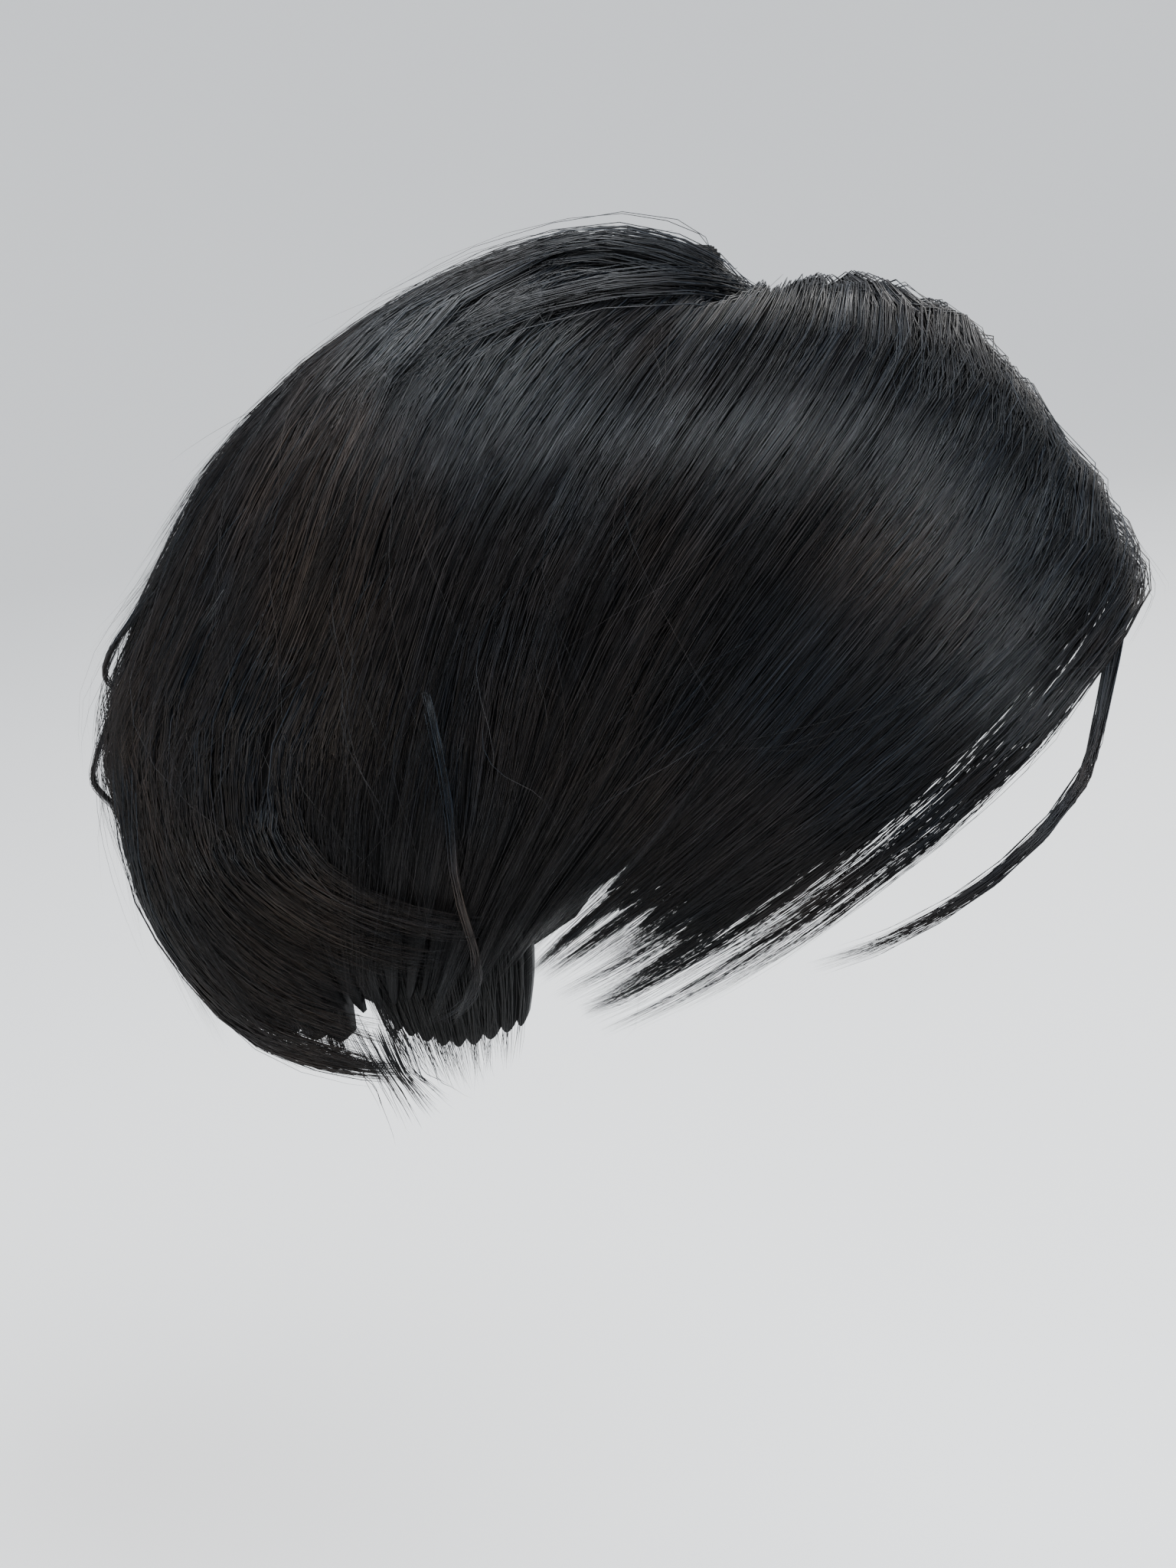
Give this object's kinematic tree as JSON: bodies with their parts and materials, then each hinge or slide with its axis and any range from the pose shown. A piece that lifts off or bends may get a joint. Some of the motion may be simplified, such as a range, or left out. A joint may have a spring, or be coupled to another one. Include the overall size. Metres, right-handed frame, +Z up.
{
  "type": "short layered wig with a side-swept fringe",
  "caption": "Short layered wig on a stretch cap, parted on the left, with a long fringe swept across the forehead and tapered nape and ear tabs.",
  "frame": {"origin": "inside of the cap at the top of the head, where the wig seats", "axes": "+Z up, -Y towards the wearer's face, +X towards the wearer's left"},
  "size_m": [0.1854, 0.2609, 0.1968],
  "materials": {
    "cap_net": "fine dark stretch net",
    "fringe_hair": "glossy blue-black synthetic hair",
    "side_hair": "glossy near-black synthetic hair with a brown sheen",
    "crown_hair": "glossy blue-black synthetic hair",
    "under_hair": "black synthetic hair, duller"
  },
  "bodies": {
    "root": {"cap": "cap_net", "fringe": "fringe_hair", "face_lock": "fringe_hair", "right_side_hair": "side_hair", "crown_back_hair": "crown_hair", "left_side_hair": "side_hair", "nape_hair": "under_hair", "right_ear_tab_hair": "under_hair", "left_ear_tab_hair": "under_hair"}
  },
  "joints": []
}
